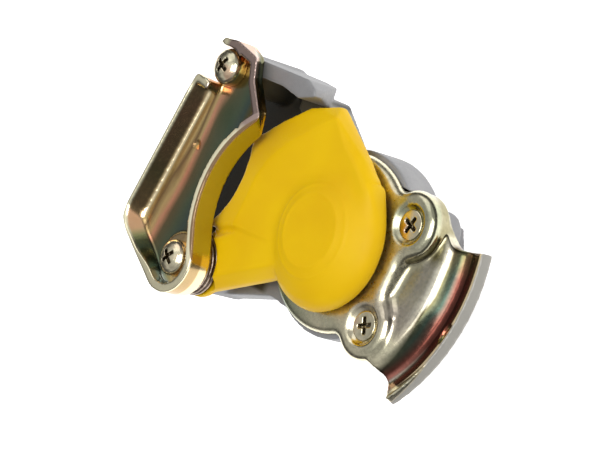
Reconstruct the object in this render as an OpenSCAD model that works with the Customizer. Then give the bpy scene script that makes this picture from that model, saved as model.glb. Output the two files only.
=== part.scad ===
// Palm-type coupling head for a trailer air brake line. A cast housing carries a threaded port
// below, a rubber seal under a stamped flange plate, a stamped claw plate on two arms and a
// sprung dust cap that swings clear of the seal. Millimetres, +Z along the seal axis, with the
// origin in the mouth of the port. The flange points to +X and the claw to -X.

/* [Housing] */
// Height of the flange plate's top face above the port mouth
platform_h = 36; // [36:0.5:44]
// Outside radius of the cup that holds the seal
cup_r = 25.7; // [25:0.1:28]
// Width across the flats of the port boss
boss_af = 27; // [24:0.5:31]
// Radius of the threaded port's wall
port_r = 7.2; // [6.4:0.1:9]
// Radius of the passage between port and valve chamber
passage_r = 6; // [4.5:0.1:6.3]
// Thickness of the floor between the arms
floor_t = 3; // [2:0.1:4]
// Thickness of the arms' walls
arm_wall = 4.4; // [3:0.1:5]
// Reach of the upper arm's outer face from the seal axis
arm_reach_y = 37; // [36:0.1:38]
// Height of the lower arm above the plate's top face
lower_arm_rise = 0.4; // [0.2:0.05:0.5]

/* [Seal and valve] */
// Thickness of the seal's clamped flange
seal_t = 3; // [2:0.1:3.5]
// Height of the seal's lip above the plate's top face
seal_rise = 0.8; // [0.3:0.05:0.8]
// Thickness of the valve plate
valve_t = 2.5; // [2:0.1:3]
// Radius of the valve plate's stem
stem_r = 3; // [2.5:0.1:3.5]
// Thickness of the valve guide
guide_t = 2.2; // [1.8:0.1:2.6]
// Wire diameter of the valve spring
valve_wire_d = 1.2; // [1:0.05:1.3]

/* [Flange plate] */
// Sheet thickness of the flange plate
plate_t = 3; // [2.6:0.1:3.2]
// Radius of the flange's rim
rim_r = 47; // [46:0.1:49]
// Slope of the tightening ramp across the flange
ramp_angle = 6; // [4:0.5:7]
// Depth of the flange's plateau below the plate's top face
plateau_drop = 3.6; // [3.4:0.1:4]
// Depth of the flange's groove below the plate's top face
groove_drop = 7.6; // [6.5:0.1:8.2]
// Depth of the flange's rim below the plate's top face
rim_drop = 4.9; // [4.2:0.1:5.4]
// Radius of the ears round the flange screws
ear_r = 9.4; // [9:0.1:10]
// Radius of the webs that blend the ears into the ring on the outside
web_r = 3.6; // [2.5:0.1:5]
// Direction of the upper flange screw from the seal axis
flange_up_angle = 28; // [26:0.5:30]
// Direction of the lower flange screw from the seal axis
flange_low_angle = -39.4; // [-41:0.2:-38]

/* [Claw plate] */
// Sheet thickness of the claw plate
claw_t = 2.5; // [2:0.1:3]
// Height of the claw plate's underside above the flange plate's top face
claw_gap = 9.1; // [8.9:0.1:9.8]
// Height of the claw's rim from its underside
claw_rim_h = 7.2; // [5.5:0.1:9]
// Width of the claw plate
claw_w = 40; // [38:0.5:42]
// Length of the claw plate
claw_l = 70; // [67:0.5:73]
// Radius of the claw's foot round the pivot
claw_foot_r = 10; // [9.6:0.1:10.6]
// Place of the upper claw screw along X
claw_up_x = -49.6; // [-50:0.1:-49]
// Place of the lower claw screw, the cap's pivot, along X
claw_low_x = -43.3; // [-44:0.1:-42.5]
// Place of the lower claw screw, the cap's pivot, along Y
claw_low_y = -22; // [-23:0.1:-21.5]

/* [Cap] */
// Radius of the cap round the seal
cap_r = 20.4; // [20:0.1:21]
// Height of the cap from its lower edge
cap_h = 9.1; // [8.5:0.1:10]
// Gap between the flange plate and the cap's lower edge
cap_lift = 1.2; // [1.1:0.05:1.4]
// Radius of the flat disc on top of the cap
cap_disc_r = 10.2; // [9:0.1:12]
// Wall thickness of the cap
cap_wall = 2.4; // [1.8:0.1:2.6]
// Reach of the cap's wing beside the seal axis
wing_l = 34; // [32:0.1:34.5]
// Reach of the cap's wing towards the claw
wing_w = 40; // [38:0.1:41]
// Radius of the cap's hub round its pivot
hub_r = 8; // [7.5:0.1:8.5]
// Outside radius of the pivot sleeve
sleeve_r = 4.2; // [3.8:0.1:4.6]
// Wire diameter of the cap's torsion spring
cap_wire_d = 1.3; // [1:0.05:1.4]
// Mean radius of the cap's torsion spring
cap_coil_r = 8.2; // [8:0.1:8.5]

/* [Screws] */
// Shank diameter of the screws
screw_d = 5; // [4:0.1:5]
// Head radius of the claw's pan-head screws
pan_head_r = 5.1; // [4.6:0.1:5.3]
// Head height of the claw's pan-head screws
pan_head_h = 5; // [3.6:0.1:5.2]
// Head radius of the flange's countersunk screws
sunk_head_r = 4.15; // [3.9:0.05:4.6]
// Head height of the flange's countersunk screws
sunk_head_h = 1.8; // [1.6:0.1:2]
// Width of the cross recess's blades
cross_w = 1.1; // [0.8:0.05:1.4]
// Depth of the cross recess
cross_depth = 1.7; // [1:0.1:1.8]

/* [Hidden] */
$fn = 96;
overrun = 1;
fit_gap = 0.05;
loose_gap = 0.3;
thin = 0.01;
hull_faces = 32;
arc_steps = 10;

// Heights that follow the height of the flange plate's top face
boss_h = 0.389 * platform_h;
port_depth = 0.361 * platform_h;
cup_h = 0.306 * platform_h;
floor_drop = 0.333 * platform_h;
chamber_h = 0.389 * platform_h;
stem_l = 0.75 * chamber_h;

// Radii that follow the cup
seal_r = 0.763 * cup_r;
seal_window_r = 0.623 * cup_r;
seal_bore_r = 0.331 * cup_r;
chamber_r = 0.564 * cup_r;
valve_r = 0.827 * chamber_r;
valve_coil_r = 0.717 * chamber_r;
flange_screw_r = 1.013 * cup_r;

// Places of the screws
claw_edge = 5;
claw_up_y = arm_reach_y - claw_edge;
flange_up = flange_screw_r * [cos(flange_up_angle), sin(flange_up_angle)];
flange_low = flange_screw_r * [cos(flange_low_angle), sin(flange_low_angle)];
claw_up = [claw_up_x, claw_up_y];
claw_low = [claw_low_x, claw_low_y];

// Heights above the port mouth
plate_z = platform_h - plate_t;
cup_z = plate_z - cup_h;
seat_z = plate_z - seal_t;
plateau_z = plate_z - plateau_drop;
chamber_z = seat_z - chamber_h;
floor_z = platform_h - floor_drop;
lower_arm_z = platform_h + lower_arm_rise;
claw_z = platform_h + claw_gap;
cap_z = platform_h + cap_lift;
screw_r = screw_d / 2;

// Directions, corners and outlines
function unit(v) = v / norm(v);
function heading(v) = atan2(v[1], v[0]);
function polar(c, r, a) = [c[0] + r * cos(a), c[1] + r * sin(a)];
function arc(c, r, a0, a1, n = arc_steps) =
    [for (i = [0:n]) polar(c, r, a0 + (a1 - a0) * i / n)];
function turn(a) = a > 180 ? a - 360 : a < -180 ? a + 360 : a;

// Points of the arc that rounds corner b between a and c
function corner(a, b, c, r) =
    let (u = unit(a - b), v = unit(c - b), half = acos(u * v) / 2)
    let (mid = b + unit(u + v) * r / sin(half), from = b + u * r / tan(half))
    let (to = b + v * r / tan(half), a0 = heading(from - mid), a1 = heading(to - mid))
    arc(mid, r, a0, a0 + turn(a1 - a0), 5);

// An outline from corners given as [place, rounding radius]
function outline(corners) =
    let (n = len(corners))
    [for (i = [0:n - 1])
        let (p = corners[i], a = corners[(i + n - 1) % n][0], c = corners[(i + 1) % n][0])
        each (p[1] == 0 ? [p[0]] : corner(a, p[0], c, p[1]))];

// Points moved inward by t, for an outline that runs anticlockwise
function inset(pts, t) =
    let (n = len(pts))
    [for (i = [0:n - 1])
        let (u = unit(pts[i] - pts[(i + n - 1) % n]), v = unit(pts[(i + 1) % n] - pts[i]))
        let (nu = [-u[1], u[0]], nv = [-v[1], v[0]])
        pts[i] + t * (nu + nv) / (1 + nu * nv)];

// Corners moved inward by t, each with its own new rounding radius
function inset_corners(corners, t, r) =
    let (places = inset([for (q = corners) q[0]], t))
    [for (i = [0:len(corners) - 1]) [places[i], corners[i][1] == 0 ? 0 : r]];

// The lower side of a sheet whose upper side follows pts, listed backwards
function underside(pts, t) =
    let (n = len(pts))
    [for (k = [0:n - 1])
        let (i = n - 1 - k, p = pts[i])
        let (u = unit(i == 0 ? pts[1] - p : p - pts[i - 1]))
        let (v = unit(i == n - 1 ? p - pts[i - 1] : pts[i + 1] - p))
        let (nu = [u[1], -u[0]], nv = [v[1], -v[0]])
        p + t * (nu + nv) / (1 + nu * nv)];

// A straight prism on an outline, from z0 to z1
module prism(pts, z0, z1) {
    translate([0, 0, z0]) linear_extrude(z1 - z0) polygon(pts);
}

// A round post about c from z0 to z1
module post(c, r, z0, z1) {
    translate([c[0], c[1], z0]) cylinder(h = z1 - z0, r = r);
}

// A coil of round wire that stands on height z0 and reaches z1, with a straight leg at its end
module coil(r, wire_d, z0, z1, turns, start, leg = 0, faces = 8, steps = 24) {
    last_step = round(turns * steps);
    rise = z1 - z0 - wire_d;
    function ring(i, out) =
        let (a = start + i * 360 / steps, z = z0 + wire_d / 2 + rise * i / last_step)
        [for (j = [0:faces - 1])
            let (b = j * 360 / faces, q = r + wire_d / 2 * cos(b))
            [q * cos(a) - out * sin(a), q * sin(a) + out * cos(a), z + wire_d / 2 * sin(b)]];
    rings = concat([for (i = [0:last_step]) ring(i, 0)], leg > 0 ? [ring(last_step, leg)] : []);
    n = len(rings) - 1;
    points = [for (ring_points = rings) each ring_points];
    sides = [for (i = [0:n - 1], j = [0:faces - 1])
        let (k = (j + 1) % faces)
        [i * faces + j, i * faces + k, (i + 1) * faces + k, (i + 1) * faces + j]];
    first = [for (j = [0:faces - 1]) faces - 1 - j];
    last = [for (j = [0:faces - 1]) n * faces + j];
    polyhedron(points, concat([first, last], sides), convexity = 10);
}

// Cast housing: the port boss, the cup and the two arms that carry the claw plate
upper_boss_r = 2.28 * screw_r;
lower_boss_r = 0.9 * hub_r;
arm_back_x = claw_up_x - 0.8 * upper_boss_r;
arm_in_y = arm_reach_y - arm_wall;
low_y = claw_low_y - lower_boss_r;
plateau_seat_r = 0.84 * cup_r;
stud_r = ear_r - plate_t - loose_gap;
stud_z = platform_h - plate_t - loose_gap;
funnel_r = 0.77 * chamber_r;
circlip_t = 1;
circlip_band = 1.8;
circlip_bite = 0.8;
circlip_z = chamber_z + guide_t + fit_gap;

// Turns its children about X as the tightening ramp lies
module on_ramp() {
    translate([0, 0, platform_h]) rotate([-ramp_angle, 0, 0]) children();
}

module upper_arm() {
    top = [-0.86 * cup_r, arm_reach_y];
    end = [-0.71 * cup_r, 0.95 * arm_reach_y];
    tip = [-0.67 * cup_r, 0.9 * arm_reach_y];
    elbow = [-0.92 * cup_r, 0.845 * arm_reach_y];
    band = [[arm_back_x, arm_reach_y], [arm_back_x, arm_in_y], [-1.22 * cup_r, arm_in_y],
        elbow, tip, end, top];
    side = [[arm_back_x, floor_z], [-1.48 * cup_r, floor_z], [-cup_r, 0.86 * platform_h],
        [-0.9 * cup_r, 0.94 * platform_h], [-0.69 * cup_r, claw_z - 0.7 * arm_wall],
        [-0.62 * cup_r, claw_z], [arm_back_x, claw_z]];
    intersection() {
        prism(band, floor_z, claw_z);
        translate([0, arm_reach_y, 0]) rotate([90, 0, 0]) linear_extrude(arm_reach_y) polygon(side);
    }
    prism([[-1.4 * cup_r, arm_in_y + overrun], [-1.4 * cup_r, arm_in_y - arm_wall],
        [-0.6 * cup_r, 0.6 * cup_r], [-0.4 * cup_r, 0.87 * cup_r], [-cup_r, arm_in_y + overrun]],
        floor_z, plate_z);
    post(claw_up, upper_boss_r, floor_z, claw_z);
}

module lower_arm() {
    plan = [[claw_low_x, low_y], [-0.82 * cup_r, -0.86 * cup_r], [-0.4 * cup_r, -0.9 * cup_r],
        [-0.85 * cup_r, -0.5 * cup_r], [-0.9 * cup_r, -0.86 * cup_r + arm_wall],
        [claw_low_x, low_y + arm_wall]];
    prism(plan, floor_z, lower_arm_z - arm_wall);
    post(claw_low, lower_boss_r, floor_z, lower_arm_z);
}

// The cap's spring pushes its fixed leg against this lug
spring_lug_r = 1.3;
spring_leg_l = 12.2;
spring_lug = [claw_low_x - spring_leg_l,
    claw_low_y + cap_coil_r + cap_wire_d / 2 + spring_lug_r + fit_gap];

module arm_floor() {
    floor_back_x = spring_lug[0] - 2 * floor_t;
    post(spring_lug, spring_lug_r, floor_z, claw_z - loose_gap);
    prism([[arm_back_x, arm_in_y], [floor_back_x, 0.8 * arm_in_y], [floor_back_x, spring_lug[1]],
        [claw_low_x - lower_boss_r, claw_low_y], [claw_low_x, low_y],
        [-0.82 * cup_r, -0.86 * cup_r], [-0.4 * cup_r, -0.86 * cup_r], [0, 0],
        [-0.4 * cup_r, 0.87 * cup_r], [-cup_r, arm_in_y]],
        floor_z, floor_z + floor_t);
}

// Room for the flange's plateau and ears, which reach lower than the plate round the seal. The
// flange's outline runs clockwise, so that the inset widens it
module plateau_room() {
    difference() {
        union() {
            intersection() {
                on_ramp() post([0, 0], rim_r, -plateau_drop - plate_t - fit_gap, claw_gap);
                prism(inset(flange_pts, loose_gap), cup_z - overrun, claw_z);
            }
            for (p = [flange_up, flange_low]) post(p, ear_r, plateau_z - fit_gap, claw_z);
        }
        post([0, 0], plateau_seat_r, cup_z, claw_z + claw_gap);
    }
}

module housing() {
    color("silver") difference() {
        union() {
            cylinder(h = boss_h, r = boss_af / sqrt(3), $fn = 6);
            translate([0, 0, boss_h]) cylinder(h = cup_z - boss_h, r1 = boss_af / 2, r2 = cup_r);
            difference() {
                post([0, 0], cup_r, cup_z, plate_z);
                plateau_room();
            }
            for (p = [flange_up, flange_low]) post(p, stud_r, cup_z, stud_z);
            upper_arm();
            lower_arm();
            arm_floor();
        }
        post([0, 0], port_r, -overrun, port_depth);
        translate([0, 0, port_depth]) cylinder(h = chamber_z - port_depth, r1 = passage_r, r2 = funnel_r);
        post([0, 0], passage_r, port_depth - overrun, chamber_z);
        post([0, 0], chamber_r, chamber_z, claw_z);
        post([0, 0], seal_r + fit_gap, seat_z, claw_z);
        post([0, 0], chamber_r + circlip_bite, circlip_z, circlip_z + circlip_t + fit_gap);
        for (p = [flange_up, flange_low]) post(p, screw_r + fit_gap, cup_z + floor_t, claw_z);
        for (p = [claw_up, claw_low])
            post(p, screw_r + fit_gap, floor_z - overrun, claw_z + overrun);
    }
}

// Stamped flange plate: the ring over the seal, two ears and the ramped flange with its rim
groove_r = 0.88 * rim_r;
ear_dish_depth = 1;
ear_dish_r = sunk_head_r + ear_dish_depth;
ear_dish_z = platform_h - ear_dish_depth;
ring_r = 0.955 * cup_r;
flange_round = 4;
flange_pts = outline([[[0.1 * rim_r, 0], 0], [[0.2 * rim_r, 0.42 * rim_r], 0],
    [[0.46 * rim_r, 0.415 * rim_r], 0.5 * flange_round],
    [[0.59 * rim_r, 0.394 * rim_r], 0.75 * flange_round],
    [[0.752 * rim_r, 0.234 * rim_r], 0.75 * flange_round], [[1.2 * rim_r, 0.321 * rim_r], 0],
    [[1.3 * rim_r, -0.4 * rim_r], 0], [[0.86 * rim_r, -0.73 * rim_r], 0],
    [[0.64 * rim_r, -0.56 * rim_r], 0.75 * flange_round],
    [[0.5 * rim_r, -0.505 * rim_r], flange_round], [[0.3 * rim_r, -0.48 * rim_r], 0]]);

// Section of the flange: its plateau drops at bend_angle into the groove and rises to the rim
bend_angle = 45;
plateau_bend_r = 1.5 * plate_t;
groove_bend_r = 3;
bends_r = plateau_bend_r + groove_bend_r;
bend_fall = groove_drop - plateau_drop - bends_r * (1 - cos(bend_angle));
plateau_r = groove_r - bends_r * sin(bend_angle) - bend_fall / tan(bend_angle);
flange_top = concat([[seal_r, -plateau_drop]],
    arc([plateau_r, -plateau_drop - plateau_bend_r], plateau_bend_r, 90, 90 - bend_angle, 3),
    arc([groove_r, -groove_drop + groove_bend_r], groove_bend_r, 270 - bend_angle, 296, 4),
    [[rim_r, -rim_drop]]);

module flange_sheet() {
    intersection() {
        on_ramp() rotate_extrude() polygon(concat(flange_top, underside(flange_top, plate_t)));
        prism(flange_pts, cup_z, claw_z);
    }
}

// Middle of a web of radius f between the ring and the ear at p, on one side of that ear
function web_mid(p, f, side) =
    let (a = ring_r + f, b = ear_r + f, c = norm(p))
    polar([0, 0], a, heading(p) + side * acos((a * a + c * c - b * b) / (2 * a * c)));

// Points of a web's concave arc about mid, from the direction of a to the direction of b
function web(mid, r, a, b) =
    let (n = 6, from = heading(a - mid), swing = turn(heading(b - mid) - from))
    [for (i = [1:n - 1]) polar(mid, r, from + swing * i / n)];

// Points of a round edge about c, anticlockwise from the direction of a to the direction of b
function rim(c, r, a, b, n) =
    let (from = heading(a - c), swing = heading(b - c) - from)
    arc(c, r, from, from + (swing < 0 ? swing + 360 : swing), n);

// Outline of the raised pad, one line round the ring and both ears, moved inward by t
pad_round = 0.8 * plate_t;
inner_web_r = 0.8 * web_r;
function pad_pts(t) =
    let (o = [0, 0], r = ring_r - t, e = ear_r - t, w = web_r + t, v = inner_web_r + t)
    let (a = web_mid(flange_up, web_r, 1), b = web_mid(flange_low, web_r, -1))
    let (c = web_mid(flange_low, inner_web_r, 1), d = web_mid(flange_up, inner_web_r, -1))
    concat(rim(o, r, a, b, 48), web(b, w, o, flange_low), rim(flange_low, e, b, c, 20),
        web(c, v, flange_low, o), rim(o, r, c, d, 4), web(d, v, o, flange_up),
        rim(flange_up, e, d, a, 20), web(a, w, flange_up, o));

// Raised pad with a rounded upper edge, closed above and below by fans about the seal axis
module pad() {
    levels = concat([[0, plate_z]], [for (a = [0:22.5:90])
        [pad_round * (1 - cos(a)), platform_h - pad_round * (1 - sin(a))]]);
    m = len(levels);
    n = len(pad_pts(0));
    points = concat([for (q = levels) each [for (p = pad_pts(q[0])) [p[0], p[1], q[1]]]],
        [[0, 0, plate_z], [0, 0, platform_h]]);
    sides = [for (i = [0:m - 2], j = [0:n - 1])
        let (k = (j + 1) % n)
        [(i + 1) * n + j, (i + 1) * n + k, i * n + k, i * n + j]];
    low = [for (j = [0:n - 1]) [m * n, j, (j + 1) % n]];
    high = [for (j = [0:n - 1]) [m * n + 1, (m - 1) * n + (j + 1) % n, (m - 1) * n + j]];
    polyhedron(points, concat(low, sides, high), convexity = 10);
}

module flange_plate() {
    color("gold") difference() {
        union() {
            pad();
            for (p = [flange_up, flange_low]) post(p, ear_r - loose_gap, plateau_z, stud_z);
            flange_sheet();
        }
        for (p = [flange_up, flange_low]) {
            post(p, stud_r + loose_gap, cup_z, stud_z + loose_gap);
            post(p, screw_r + loose_gap, cup_z, claw_z);
            post(p, ear_dish_r, ear_dish_z, claw_z);
            translate([p[0], p[1], ear_dish_z - sunk_head_h])
                cylinder(h = sunk_head_h, r1 = screw_r + fit_gap, r2 = sunk_head_r + fit_gap);
        }
        post([0, 0], plateau_seat_r + loose_gap, cup_z, plate_z);
        post([0, 0], seal_window_r, cup_z, claw_z);
    }
}

// Screws, each with its cross recess turned by its own angle
flange_up_turn = 69;
flange_low_turn = 24;
claw_up_turn = 62;
claw_low_turn = 50;
cross_reach = 0.46 * pan_head_r;

module cross_recess(z, a) {
    for (b = [0, 90]) rotate(a + b) translate([-cross_reach, -cross_w / 2, z - cross_depth])
        cube([2 * cross_reach, cross_w, cross_depth + overrun]);
}

module flange_screw(p, a) {
    color("lightgray") translate([p[0], p[1], 0]) difference() {
        rotate_extrude() polygon([[0, cup_z + floor_t + loose_gap],
            [screw_r, cup_z + floor_t + loose_gap], [screw_r, ear_dish_z - sunk_head_h],
            [sunk_head_r, ear_dish_z], [0, ear_dish_z]]);
        cross_recess(ear_dish_z, a);
    }
}

module claw_screw(p, a) {
    tip_z = floor_z + floor_t;
    seat = claw_z + claw_t;
    shoulder = seat + 0.5 * pan_head_h;
    flatness = 0.5 * pan_head_h / pan_head_r;
    crown = arc([0, 0], pan_head_r, 0, 90, 6);
    color("lightgray") translate([p[0], p[1], 0]) difference() {
        rotate_extrude() polygon(concat([[0, tip_z], [screw_r, tip_z], [screw_r, seat],
            [pan_head_r, seat]], [for (q = crown) [q[0], shoulder + flatness * q[1]]]));
        cross_recess(seat + pan_head_h, a);
    }
}

// Stamped claw plate: a pan whose rim guides the other head's flange beneath it
function from_up(sx, sy) = [claw_up_x + sx * claw_w, claw_up_y + sy * pan_head_r];
function from_low(sx, sy) = [claw_low_x + sx * claw_w, claw_low_y + sy * claw_l];

// Directions between which the rim runs round the pivot
foot_from = -115;
foot_to = 15;

// Foot of the claw's rim, anticlockwise from its nose. The upper lip leans out from this line
claw_foot = arc(claw_low, claw_foot_r, foot_from, foot_to, 12);
hollow_from = 197;
hollow_to = 137;
claw_hollow = arc(from_low(0.8025, 0.2957), 0.705 * claw_w, hollow_from, hollow_to, 14);
hollow_end = claw_hollow[14];
claw_nose = from_up(0.4175, -1.51);
lip_bend = from_up(0.2525, 0);
lip_corner = from_up(0.1975, 1.1);
lip_top = from_up(0.0725, 1.52);
claw_round = 4;
pocket_round = 0.8;
claw_corners = concat(
    [[claw_nose, 0.25 * claw_round], [lip_bend, claw_round], [lip_corner, 0.62 * claw_round],
        [lip_top, 0.75 * claw_round], [from_up(-0.0825, 1.43), 0.3 * claw_round],
        [from_up(-0.1255, 0.19), 0.25 * claw_round], [from_up(-0.1325, -1.02), 0.25 * claw_round],
        [from_up(-0.2355, -0.88), 0.5 * claw_round], [from_low(-0.65, 0.049), 0.88 * claw_round]],
    [for (q = claw_foot) [q, 0]], [for (q = claw_hollow) [q, 0]]);
claw_pts = outline(claw_corners);
claw_pocket = outline(inset_corners(claw_corners, claw_t, pocket_round));

// One stretch of the leaning lip, from foot a to foot b
module lip(a, lean_a, b, lean_b) {
    top_z = claw_z + claw_rim_h - thin;
    hull() {
        for (q = [[a, claw_z + claw_t / 2], [b, claw_z + claw_t / 2],
            [a + [lean_a, 0], top_z], [b + [lean_b, 0], top_z]])
            post(q[0], claw_t / 2, q[1], q[1] + thin, $fn = hull_faces);
    }
}

module claw_plate() {
    floor_top = claw_z + claw_t;
    lean = 0.135 * claw_w;
    middle = claw_t / 2;
    high = claw_z + claw_rim_h + overrun;
    color("goldenrod") difference() {
        union() {
            difference() {
                prism(claw_pts, claw_z, claw_z + claw_rim_h);
                prism(claw_pocket, floor_top, high);
                prism([hollow_end - [2 * claw_t, 0], from_up(0.1325, 0), from_up(0.1325, 0.96),
                    from_up(0.1325, 2.75), from_up(0.6325, 2.75), hollow_end + [2 * claw_t, 0]],
                    floor_top, high);
                prism([from_up(-0.0275, 0.96), from_up(-0.0275, -1.24), from_up(-0.1675, -0.8),
                    from_up(-0.3675, 0), from_up(-0.1675, 1.3)], floor_top, high);
            }
            lip(hollow_end + middle * [cos(hollow_to), sin(hollow_to)], 0,
                claw_nose + [-middle, -middle], lean);
            lip(claw_nose + [-middle, -middle], lean, lip_bend + [-middle, -middle], lean);
            lip(lip_bend + [-middle, -middle], lean, lip_corner + [-middle, -middle], lean);
            lip(lip_corner + [-middle, -middle], lean, lip_top + [0, -middle], 0);
        }
        for (p = [claw_up, claw_low]) {
            post(p, screw_r + fit_gap, claw_z - overrun, high);
            post(p, pan_head_r + loose_gap, floor_top, high);
        }
    }
}

// Cap: a dome over the seal, an arm to the hub and a wing over the gap between the arms
cap_offset_y = 0.9;
cap_c = [0, cap_offset_y];
cap_top_z = cap_z + cap_h;
wing_z = cap_z + 0.75 * cap_h;
wing_edge_z = cap_z + 0.42 * cap_h;
function wing(sx, sy) = [-sx * wing_w, sy * wing_l];
wing_edge = [wing(0.1725, 0.915), wing(0.26, 0.985), wing(0.54, 0.885), wing(0.77, 0.69),
    wing(1, 0.455), wing(1.14, -0.33), wing(0.4, -0.3), wing(-0.32, 0.565)];
wing_fold = [wing(0.19, 0.9), wing(0.385, 0.73), wing(0.58, 0.54), wing(0.695, 0.37),
    wing(0.74, 0.24), wing(0.8, -0.22), wing(0.4, -0.2), polar(cap_c, 0.83 * cap_r, 60)];

module slab(pts, z) {
    prism(pts, z, z + thin);
}

// Dome over the seal, with a flat disc on top and a rounded shoulder
module dome_shape(cut) {
    low = cap_z - (cut > 0 ? overrun : 0);
    translate([cap_c[0], cap_c[1], 0]) rotate_extrude() polygon([[0, low], [cap_r - cut, low],
        [cap_r - cut, cap_z + 0.2 * cap_h - cut / 2], [0.97 * cap_r - cut, cap_z + 0.4 * cap_h - cut],
        [0.88 * cap_r - cut, cap_z + 0.6 * cap_h - cut], [0.72 * cap_r - cut, cap_z + 0.8 * cap_h - cut],
        [cap_disc_r - cut / 2, cap_top_z - cut], [0, cap_top_z - cut]]);
}

module wing_shape(cut) {
    hull() {
        slab(inset(wing_edge, cut), cap_z + (cut > 0 ? -overrun : 0.15 * cap_h));
        slab(inset(wing_edge, cut), wing_edge_z - cut);
        slab(inset(wing_fold, cut), wing_z - cut);
    }
}

module arm_shape(cut) {
    z0 = cap_z - (cut > 0 ? overrun : 0);
    arm_r = 0.46 * cap_r;
    band = 0.375 * hub_r;
    hull() {
        post(claw_low, hub_r - cut, z0, cap_z + 0.3 * cap_h - cut / 2, $fn = hull_faces);
        post(cap_c, arm_r - cut, z0, cap_z + 0.3 * cap_h - cut / 2, $fn = hull_faces);
        post(claw_low, hub_r - band - cut / 2, z0, wing_z - 0.1 * cap_h - cut, $fn = hull_faces);
        post(cap_c, arm_r - band - cut / 2, z0, wing_z - cut, $fn = hull_faces);
    }
}

// The spring lies in a round pocket in the hub, with one end bent down into the pocket's floor
pocket_r = cap_coil_r + cap_wire_d / 2 + 3 * loose_gap;
spring_floor = cap_z + cap_wall;
spring_turns = 3;
spring_pin_l = 1.5;
spring_pin = [claw_low_x, claw_low_y + cap_coil_r];

module cap() {
    bite_r = 0.475 * wing_w;
    color("yellow") difference() {
        union() {
            difference() {
                union() {
                    dome_shape(0);
                    wing_shape(0);
                    arm_shape(0);
                }
                difference() {
                    union() {
                        dome_shape(cap_wall);
                        wing_shape(cap_wall);
                        arm_shape(cap_wall);
                    }
                    post(claw_low, pocket_r + cap_wall, cap_z - 2 * overrun, claw_z);
                }
            }
            post(claw_low, cap_coil_r + cap_wire_d / 2, cap_z, spring_floor);
        }
        post(claw_low, pocket_r, spring_floor, claw_z);
        post(claw_low, sleeve_r + fit_gap, cap_z - overrun, claw_z);
        post(spring_pin, 0.4 * cap_wire_d + fit_gap, spring_floor - spring_pin_l - fit_gap, claw_z);
        post(wing(1.4, 0.17), bite_r, cap_z - overrun, claw_z);
    }
}

module pivot_sleeve() {
    color("dimgray") difference() {
        post(claw_low, sleeve_r, lower_arm_z, claw_z);
        post(claw_low, screw_r + fit_gap, lower_arm_z - overrun, claw_z + overrun);
    }
}

module pivot_washer() {
    color("dimgray") difference() {
        post(claw_low, 0.875 * hub_r, lower_arm_z, cap_z - fit_gap);
        post(claw_low, sleeve_r + fit_gap, lower_arm_z - overrun, cap_z + overrun);
    }
}

module cap_spring() {
    base = spring_floor + fit_gap;
    color("dimgray") {
        translate([claw_low_x, claw_low_y, 0])
            coil(cap_coil_r, cap_wire_d, base, claw_z - fit_gap, spring_turns, 90,
                spring_leg_l + spring_lug_r);
        post(spring_pin, 0.4 * cap_wire_d, spring_floor - spring_pin_l, base + cap_wire_d / 2);
    }
}

// Seal and shut-off valve, on the seal axis
module seal_ring() {
    neck_r = seal_window_r - loose_gap;
    lip_z = platform_h + seal_rise;
    color("black") rotate_extrude() polygon([[seal_bore_r, seat_z], [seal_r, seat_z],
        [seal_r, plate_z], [neck_r, plate_z], [neck_r, lip_z - 0.2 * seal_t],
        [neck_r - 0.2 * seal_t, lip_z], [seal_bore_r + seal_t, lip_z],
        [seal_bore_r, lip_z - 0.5 * seal_t]]);
}

valve_bead = 0.5;
valve_z = seat_z - valve_bead - valve_t;
guide_z = chamber_z + guide_t;
guide_hub_wall = 2;
guide_hub_r = stem_r + guide_hub_wall;
guide_windows = 6;
guide_window_r = 1.9;
guide_rib = 0.7;
bead_w = 1;
stem_chamfer = 0.6;

module valve_plate() {
    bead_r = seal_bore_r + 1.5 * bead_w;
    color("white") rotate_extrude() polygon([[0, valve_z - stem_l],
        [stem_r - stem_chamfer, valve_z - stem_l], [stem_r, valve_z - stem_l + stem_chamfer],
        [stem_r, valve_z], [valve_r, valve_z], [valve_r, seat_z - valve_bead],
        [bead_r + bead_w, seat_z - valve_bead], [bead_r + bead_w, seat_z], [bead_r, seat_z],
        [bead_r, seat_z - valve_bead], [0, seat_z - valve_bead]]);
}

module valve_spring() {
    color("silver") coil(valve_coil_r, valve_wire_d, guide_z + fit_gap, valve_z - fit_gap, 2.5, 0);
}

module valve_guide() {
    window_ring_r = guide_hub_r + guide_window_r + guide_rib;
    color("white") difference() {
        union() {
            post([0, 0], chamber_r - fit_gap, chamber_z, guide_z);
            post([0, 0], guide_hub_r, chamber_z, guide_z + guide_t);
        }
        post([0, 0], stem_r + fit_gap, chamber_z - overrun, guide_z + guide_t + overrun);
        for (i = [0:guide_windows - 1])
            post(polar([0, 0], window_ring_r, i * 360 / guide_windows), guide_window_r,
                chamber_z - overrun, guide_z + overrun);
    }
}

module guide_circlip() {
    clip_r = chamber_r + circlip_bite - fit_gap;
    color("dimgray") difference() {
        post([0, 0], clip_r, circlip_z + fit_gap, circlip_z + circlip_t);
        post([0, 0], chamber_r - circlip_band, circlip_z - overrun, circlip_z + circlip_t + overrun);
        prism([[0, 0], polar([0, 0], 2 * clip_r, -20), polar([0, 0], 2 * clip_r, 20)],
            circlip_z - overrun, circlip_z + circlip_t + overrun);
    }
}

housing();
flange_plate();
flange_screw(flange_up, flange_up_turn);  // flange_screw_upper
flange_screw(flange_low, flange_low_turn);  // flange_screw_lower
claw_plate();
claw_screw(claw_up, claw_up_turn);  // claw_screw_upper
claw_screw(claw_low, claw_low_turn);  // claw_screw_lower
pivot_sleeve();
pivot_washer();
cap();
cap_spring();
seal_ring();
valve_plate();
valve_spring();
valve_guide();
guide_circlip();
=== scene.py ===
import math

import bmesh
import bpy
import numpy
from mathutils import Matrix, Vector


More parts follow.
